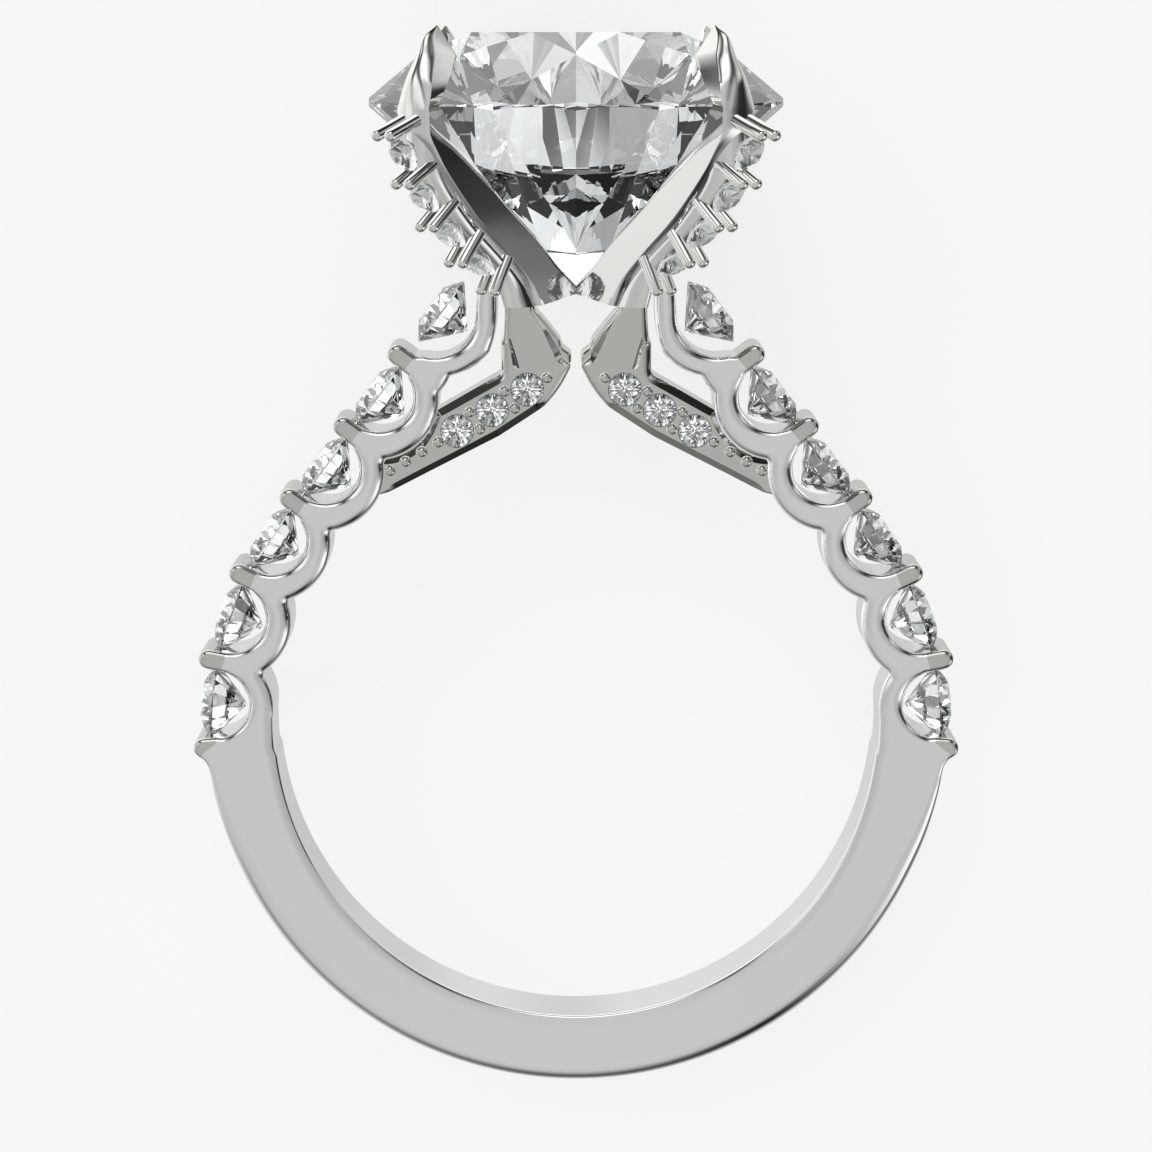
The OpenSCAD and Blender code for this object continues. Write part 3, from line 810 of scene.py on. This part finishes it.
# For each way round from the line of sight, in degrees from the right, the
# light at so many degrees off it
STUDIO = {
    -180: [(0, 0.6), (20, 0.54), (40, 0.51), (60, 0.52), (78, 0.6), (84, 0.9), (96, 0.98),
           (104, 0.8), (116, 0.95), (140, 1.1), (180, 0.62)],
    -135: [(0, 0.6), (30, 0.58), (60, 0.56), (78, 0.5), (88, 0.3), (104, 0.3), (120, 0.6),
           (150, 0.8), (180, 0.62)],
    -90: [(0, 0.6), (30, 0.62), (58, 0.59), (76, 0.4), (88, 0.16), (104, 0.1), (112, 0.2),
          (124, 0.35), (140, 0.7), (180, 0.62)],
    -64: [(0, 0.6), (30, 0.6), (58, 0.5), (70, 0.15), (84, 0.01), (104, 0.05), (120, 0.4),
          (140, 0.6), (180, 0.62)],
    -24: [(0, 0.6), (30, 0.5), (58, 0.6), (72, 1.1), (92, 1.2), (102, 0.4), (112, 0.1),
          (126, 0.12), (140, 0.5), (180, 0.62)],
    -10: [(0, 0.6), (25, 0.5), (40, 0.45), (58, 0.4), (70, 0.24), (96, 0.24), (108, 0.08),
          (124, 0.11), (140, 0.5), (180, 0.62)],
    -6: [(0, 0.6), (25, 0.5), (40, 0.45), (55, 0.3), (65, 0.12), (80, 0.025), (98, 0.025),
         (108, 0.08), (124, 0.11), (140, 0.5), (180, 0.62)],
    15: [(0, 0.6), (25, 0.5), (40, 0.45), (50, 0.5), (62, 0.2), (74, 0.04), (96, 0.02),
         (108, 0.1), (120, 0.5), (140, 0.7), (180, 0.62)],
    28: [(0, 0.6), (25, 0.5), (40, 0.45), (50, 0.5), (62, 0.3), (76, 0.6), (98, 0.8),
         (108, 0.3), (120, 0.5), (140, 0.7), (180, 0.62)],
    58: [(0, 0.6), (30, 0.55), (42, 0.12), (70, 0.05), (80, 0.02), (98, 0.02), (108, 1.0),
         (140, 1.0), (180, 0.64)],
    88: [(0, 0.6), (36, 0.6), (44, 1.3), (68, 1.4), (78, 0.2), (84, 0.02), (98, 0.02),
         (105, 1.2), (130, 1.3), (148, 0.7), (180, 0.65)],
    110: [(0, 0.6), (36, 0.6), (44, 1.2), (68, 1.3), (78, 0.4), (84, 0.06), (92, 0.06),
          (100, 1.1), (130, 1.3), (150, 0.9), (180, 0.64)],
    128: [(0, 0.6), (32, 0.55), (42, 0.12), (70, 0.06), (90, 0.06), (100, 1.1), (130, 1.3),
          (150, 0.9), (180, 0.64)],
    148: [(0, 0.6), (36, 0.58), (46, 1.0), (70, 1.2), (78, 0.3), (84, 0.05), (90, 0.05),
          (97, 1.1), (130, 1.2), (150, 0.9), (180, 0.64)],
}
# How much of it the stones gather, by degrees off the line of sight and by
# degrees round it, with a dark lens in the middle
STONE_SPREAD = [
    (0, 0.15), (6, 0.15), (9, 2.2), (16, 2.8), (19, 0.5), (26, 0.5), (29, 2.6), (36, 2.6),
    (42, 1.2), (90, 1), (120, 1.0), (132, 1.45), (180, 1.6)
]
STONE_ROUND = [
    (-180, 0.6), (-160, 0.7), (-139, 2.6), (-110, 0.22), (-85, 1.7), (-50, 0.3), (-20, 2.0),
    (10, 2.3), (40, 0.3), (70, 1.7), (90, 1.4), (130, 0.3), (162, 0.5), (180, 0.6)
]
STONE_CONTRAST = 2.0
PAPER_WHITE = 0.94
BRIGHTEST = 3
world = bpy.data.worlds.new("studio")
bpy.context.scene.world = world
world.use_nodes = True
nodes, links = world.node_tree.nodes, world.node_tree.links


def worked(kind, *values):
    """One step of arithmetic on numbers or sockets."""
    step = nodes.new("ShaderNodeMath")
    step.operation = kind
    for socket, value in zip(step.inputs, values):
        if isinstance(value, (int, float)):
            socket.default_value = value
        else:
            links.new(value, socket)
    return step.outputs[0]


def ramp(place, stops):
    """Light levels eased along 0 to 1, none above the brightest."""
    scale = nodes.new("ShaderNodeValToRGB")
    scale.color_ramp.interpolation = "EASE"
    bar = scale.color_ramp.elements
    while len(bar) < len(stops):
        bar.new(0.5)
    for stop, (at, level) in zip(bar, stops):
        stop.position = at
        stop.color = (level / BRIGHTEST, level / BRIGHTEST, level / BRIGHTEST, 1)
    links.new(place, scale.inputs[0])
    return worked("MULTIPLY", scale.outputs[0], BRIGHTEST)


def off_stops(rows):
    """Rows by degrees off the line of sight, as stops from 0 to 1."""
    return [(degrees / 180, level) for degrees, level in rows]


def round_stops(rows):
    """Rows by degrees round the line of sight, as stops from 0 to 1."""
    return [(degrees / 360 + 0.5, level) for degrees, level in rows]


sky = nodes.new("ShaderNodeTexCoord")
stand = nodes.new("ShaderNodeVectorRotate")
stand.rotation_type = "X_AXIS"
stand.inputs["Angle"].default_value = -LEAN
links.new(sky.outputs["Generated"], stand.inputs["Vector"])
upright = nodes.new("ShaderNodeSeparateXYZ")
links.new(stand.outputs[0], upright.inputs[0])
away = worked("ARCCOSINE", worked("MULTIPLY", upright.outputs["Y"], -1))
off_sight = worked("DIVIDE", away, math.pi)
turned = worked("ARCTAN2", upright.outputs["Z"], upright.outputs["X"])
way_round = worked("ADD", worked("DIVIDE", turned, 2 * math.pi), 0.5)
ways = sorted(STUDIO)
light = 0.0
for k, way in enumerate(ways):
    level = ramp(off_sight, off_stops(STUDIO[way]))
    rows = [(way, 1), ((ways + [180])[k + 1], 0)]
    if k == 0:
        rows += [(ways[-1], 0), (180, 1)]
    else:
        rows = [(ways[k - 1], 0)] + rows
    light = worked("MULTIPLY_ADD", ramp(way_round, round_stops(rows)), level, light)
on_metal = nodes["Background"]
links.new(light, on_metal.inputs["Color"])
in_stones = nodes.new("ShaderNodeBackground")
gathered = worked("POWER", light, STONE_CONTRAST)
gathered = worked("MULTIPLY", gathered, ramp(off_sight, off_stops(STONE_SPREAD)))
gathered = worked("MULTIPLY", gathered, ramp(way_round, round_stops(STONE_ROUND)))
links.new(gathered, in_stones.inputs["Color"])
backdrop = nodes.new("ShaderNodeBackground")
backdrop.inputs["Color"].default_value = (PAPER_WHITE, PAPER_WHITE, PAPER_WHITE, 1)
kinds = nodes.new("ShaderNodeLightPath")


def seen_by(flag, light_of_kind, before):
    """Light that only one kind of ray sees, over what all the others see."""
    either = nodes.new("ShaderNodeMixShader")
    links.new(kinds.outputs[flag], either.inputs[0])
    links.new(before, either.inputs[1])
    links.new(light_of_kind.outputs[0], either.inputs[2])
    return either.outputs[0]


shown = seen_by("Is Transmission Ray", in_stones, on_metal.outputs[0])
shown = seen_by("Is Camera Ray", backdrop, shown)
links.new(shown, nodes["World Output"].inputs["Surface"])

# The camera hangs 103 mm in front of the ring, level with the large stone,
# and dips until the ring is in the frame.
EYE = [0, -103.4, 18.67]
DIP = math.radians(8.137)
LENS_PIXELS = 3796
PHOTO_PIXELS = 1152
NEAREST, FARTHEST = 0.005, 10
camera = bpy.data.objects.new("camera", bpy.data.cameras.new("camera"))
bpy.context.collection.objects.link(camera)
camera.data.lens = LENS_PIXELS / PHOTO_PIXELS * camera.data.sensor_width
camera.data.clip_start, camera.data.clip_end = NEAREST, FARTHEST
look = turned_down([[0, math.cos(DIP), -math.sin(DIP)]])[0]
up = turned_down([[0, math.sin(DIP), math.cos(DIP)]])[0]
stance = np.eye(4)
stance[:3] = np.stack([np.cross(look, up), up, -look, laid_down([EYE])[0]], 1)
camera.matrix_world = stance.T
bpy.context.scene.camera = camera
bpy.context.scene.view_settings.view_transform = "Standard"
